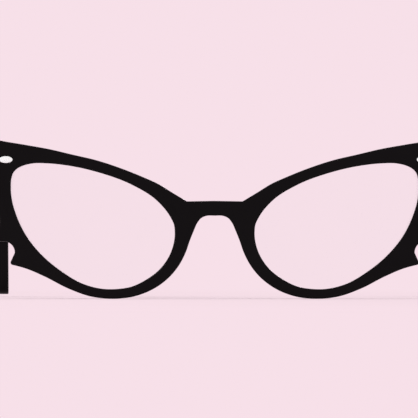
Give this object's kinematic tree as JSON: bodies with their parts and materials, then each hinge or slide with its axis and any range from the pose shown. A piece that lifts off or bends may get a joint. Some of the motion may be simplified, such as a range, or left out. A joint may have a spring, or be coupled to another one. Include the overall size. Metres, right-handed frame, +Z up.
{
  "type": "winged cat-eye glasses",
  "caption": "Black cat-eye glasses with upswept wings, small side fins, white oval studs, clear lenses and side arms that fold on riveted hinges.",
  "frame": {"origin": "middle of the glasses, open and level, on the plane that the rims stand on", "axes": "+X to the wearer's left, +Y backward from the front along the arms, +Z up; x = 0 is the mirror plane"},
  "size_m": [0.1468, 0.14, 0.0504],
  "materials": {
    "front_acetate": "gloss",
    "temple_acetate": "gloss",
    "pad_acetate": "satin",
    "clear_lens": "polished",
    "white_enamel": "gloss",
    "hinge_metal": "satin",
    "screw_steel": "satin",
    "rivet_metal": "polished",
    "core_wire": "satin"
  },
  "bodies": {
    "front_frame": {"front": "front_acetate", "left_lens": "clear_lens", "right_lens": "clear_lens", "left_nose_pad": "pad_acetate", "right_nose_pad": "pad_acetate", "left_plaque": "white_enamel", "right_plaque": "white_enamel", "left_front_hinge": "hinge_metal", "right_front_hinge": "hinge_metal", "left_hinge_screw": "screw_steel", "right_hinge_screw": "screw_steel"},
    "left_arm": {"left_temple": "temple_acetate", "left_temple_hinge": "hinge_metal", "left_temple_rivets": "rivet_metal", "left_temple_core": "core_wire"},
    "right_arm": {"right_temple": "temple_acetate", "right_temple_hinge": "hinge_metal", "right_temple_rivets": "rivet_metal", "right_temple_core": "core_wire"}
  },
  "joints": [
    {"name": "left_arm_fold", "type": "hinge", "parent": "front_frame", "child": "left_arm", "pos_m": [0.0639, -0.05614, 0.04315], "axis": [0, 0, 1], "range_deg": [0, 90]},
    {"name": "right_arm_fold", "type": "hinge", "parent": "front_frame", "child": "right_arm", "pos_m": [-0.0639, -0.05614, 0.04315], "axis": [0, 0, -1], "range_deg": [0, 81]}
  ]
}
